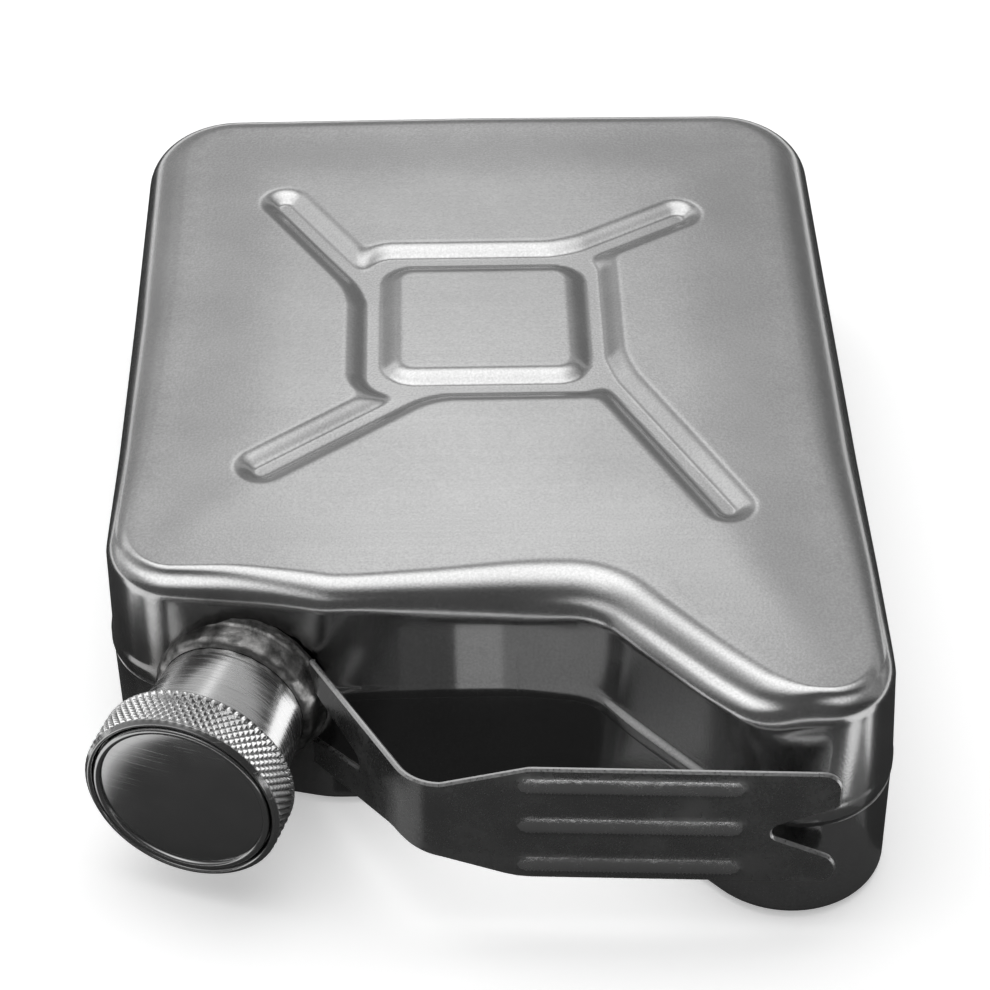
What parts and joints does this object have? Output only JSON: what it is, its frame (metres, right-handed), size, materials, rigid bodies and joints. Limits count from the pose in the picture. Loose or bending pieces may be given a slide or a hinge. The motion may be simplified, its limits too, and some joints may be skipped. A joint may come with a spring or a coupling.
{
  "type": "hip flask",
  "caption": "Stainless steel hip flask in the shape of a small jerry can, with a pressed cross on its panels, a strap handle and a knurled screw cap on an angled neck.",
  "frame": {"origin": "middle of the pressed cross on the back panel, on the face that the flask lies on", "axes": "+X across the flask, away from the neck's side; +Y along the flask towards its base; +Z out of the front panel"},
  "size_m": [0.0757, 0.1048, 0.0258],
  "materials": {
    "shell_steel": "satin, finely brushed stainless steel",
    "neck_steel": "turned stainless steel, brushed round its axis",
    "collar_steel": "welded stainless steel with a dull weld tint",
    "strap_steel": "polished stainless steel strip with bright sheared edges",
    "knurled_steel": "diamond-knurled stainless steel",
    "polished_steel": "polished steel with hairline scratches",
    "seal_rubber": "matt black"
  },
  "bodies": {
    "flask": {"front_shell": "shell_steel", "back_shell": "shell_steel", "neck_spout": "neck_steel", "neck_collar": "collar_steel", "handle_strap": "strap_steel"},
    "cap_carrier": {"cap_seal": "seal_rubber"},
    "cap": {"cap_ring": "knurled_steel", "cap_disc": "polished_steel"}
  },
  "joints": [
    {"name": "cap_lift", "type": "slide", "parent": "flask", "child": "cap_carrier", "axis": [-0.3206, -0.9472, 0], "range_m": [0, 0.00251]},
    {"name": "cap_turn", "type": "hinge", "parent": "cap_carrier", "child": "cap", "pos_m": [-0.0244, -0.04253, 0.0129], "axis": [-0.3206, -0.9472, 0], "range_deg": [0, 720]}
  ],
  "couplings": [
    {"joint": "cap_lift", "follows": "cap_turn", "m_per_rad": 0.00019894}
  ]
}
